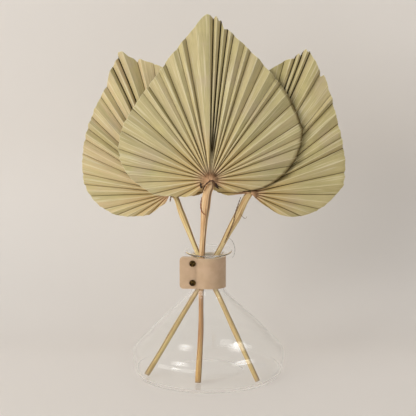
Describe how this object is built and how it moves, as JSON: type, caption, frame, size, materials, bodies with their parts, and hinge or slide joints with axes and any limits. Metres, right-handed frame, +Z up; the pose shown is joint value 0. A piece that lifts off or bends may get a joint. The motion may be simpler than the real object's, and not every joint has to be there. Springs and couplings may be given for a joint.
{
  "type": "dried palm leaf arrangement in a glass flask vase",
  "caption": "Dried pleated palm leaves cut to spades on slim stalks, standing in a clear conical glass flask with a riveted leather neck band.",
  "frame": {"origin": "middle of the flask's flat base, on the surface it stands on", "axes": "+Z up; the leaves' front side, with the band's rivets, faces -Y"},
  "size_m": [0.2885, 0.165, 0.3874],
  "materials": {
    "clear_glass": "clear, smooth",
    "leather": "smooth vegetable-tanned, matt",
    "dark_brass": "antique, dark, satin",
    "palm_blade": "dry fibrous leaf, matt",
    "palm_stalk": "dry fibrous stalk, matt"
  },
  "bodies": {
    "root": {"flask": "clear_glass", "neck_band": "leather", "rivet_upper": "dark_brass", "rivet_lower": "dark_brass", "leaf_front_blade": "palm_blade", "leaf_front_stalk": "palm_stalk", "leaf_left_blade": "palm_blade", "leaf_left_stalk": "palm_stalk", "leaf_right_blade": "palm_blade", "leaf_right_stalk": "palm_stalk"}
  },
  "joints": []
}
